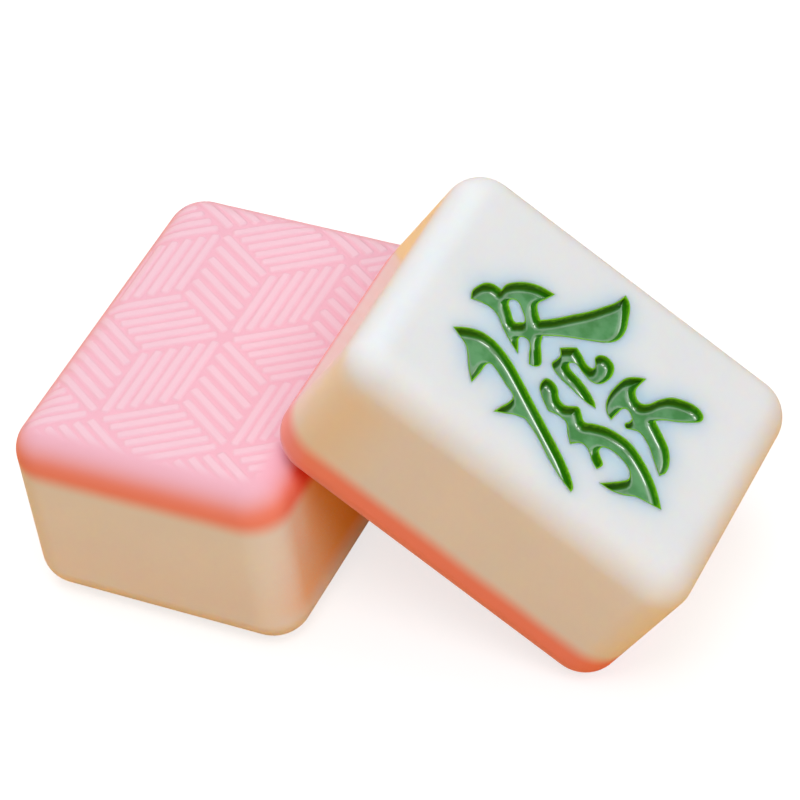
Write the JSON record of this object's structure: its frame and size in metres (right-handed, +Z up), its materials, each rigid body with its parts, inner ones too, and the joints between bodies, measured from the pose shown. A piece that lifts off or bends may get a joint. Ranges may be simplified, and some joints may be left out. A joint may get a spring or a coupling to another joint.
{
  "type": "mahjong tile pair",
  "caption": "Two-tone mahjong tiles, one lying face down with a hatched coloured back, one leaning on it with a painted engraved face.",
  "frame": {"origin": "centre of the flat tile's face, on the surface that it lies on", "axes": "+Z up, +Y along the flat tile's long edges, +X towards the leaning tile"},
  "size_m": [0.0695, 0.04, 0.0378],
  "materials": {
    "ivory_resin": "polished ivory-white moulding resin",
    "pink_resin": "satin pink moulding resin with moulded bars",
    "green_paint": "glossy green enamel paint"
  },
  "bodies": {
    "flat_tile": {"flat_face_block": "ivory_resin", "flat_back_layer": "pink_resin", "flat_paint_crown": "green_paint", "flat_paint_sweep": "green_paint", "flat_paint_hook": "green_paint", "flat_paint_wave": "green_paint", "flat_paint_foot": "green_paint"},
    "leaning_tile": {"leaning_face_block": "ivory_resin", "leaning_back_layer": "pink_resin", "leaning_paint_crown": "green_paint", "leaning_paint_sweep": "green_paint", "leaning_paint_hook": "green_paint", "leaning_paint_wave": "green_paint", "leaning_paint_foot": "green_paint"}
  },
  "joints": [
    {"name": "tip_up", "type": "hinge", "parent": "flat_tile", "child": "leaning_tile", "pos_m": [0.0427, 0.0005, 0.0035], "axis": [0, 1, 0], "range_deg": [0, 53.7]}
  ]
}
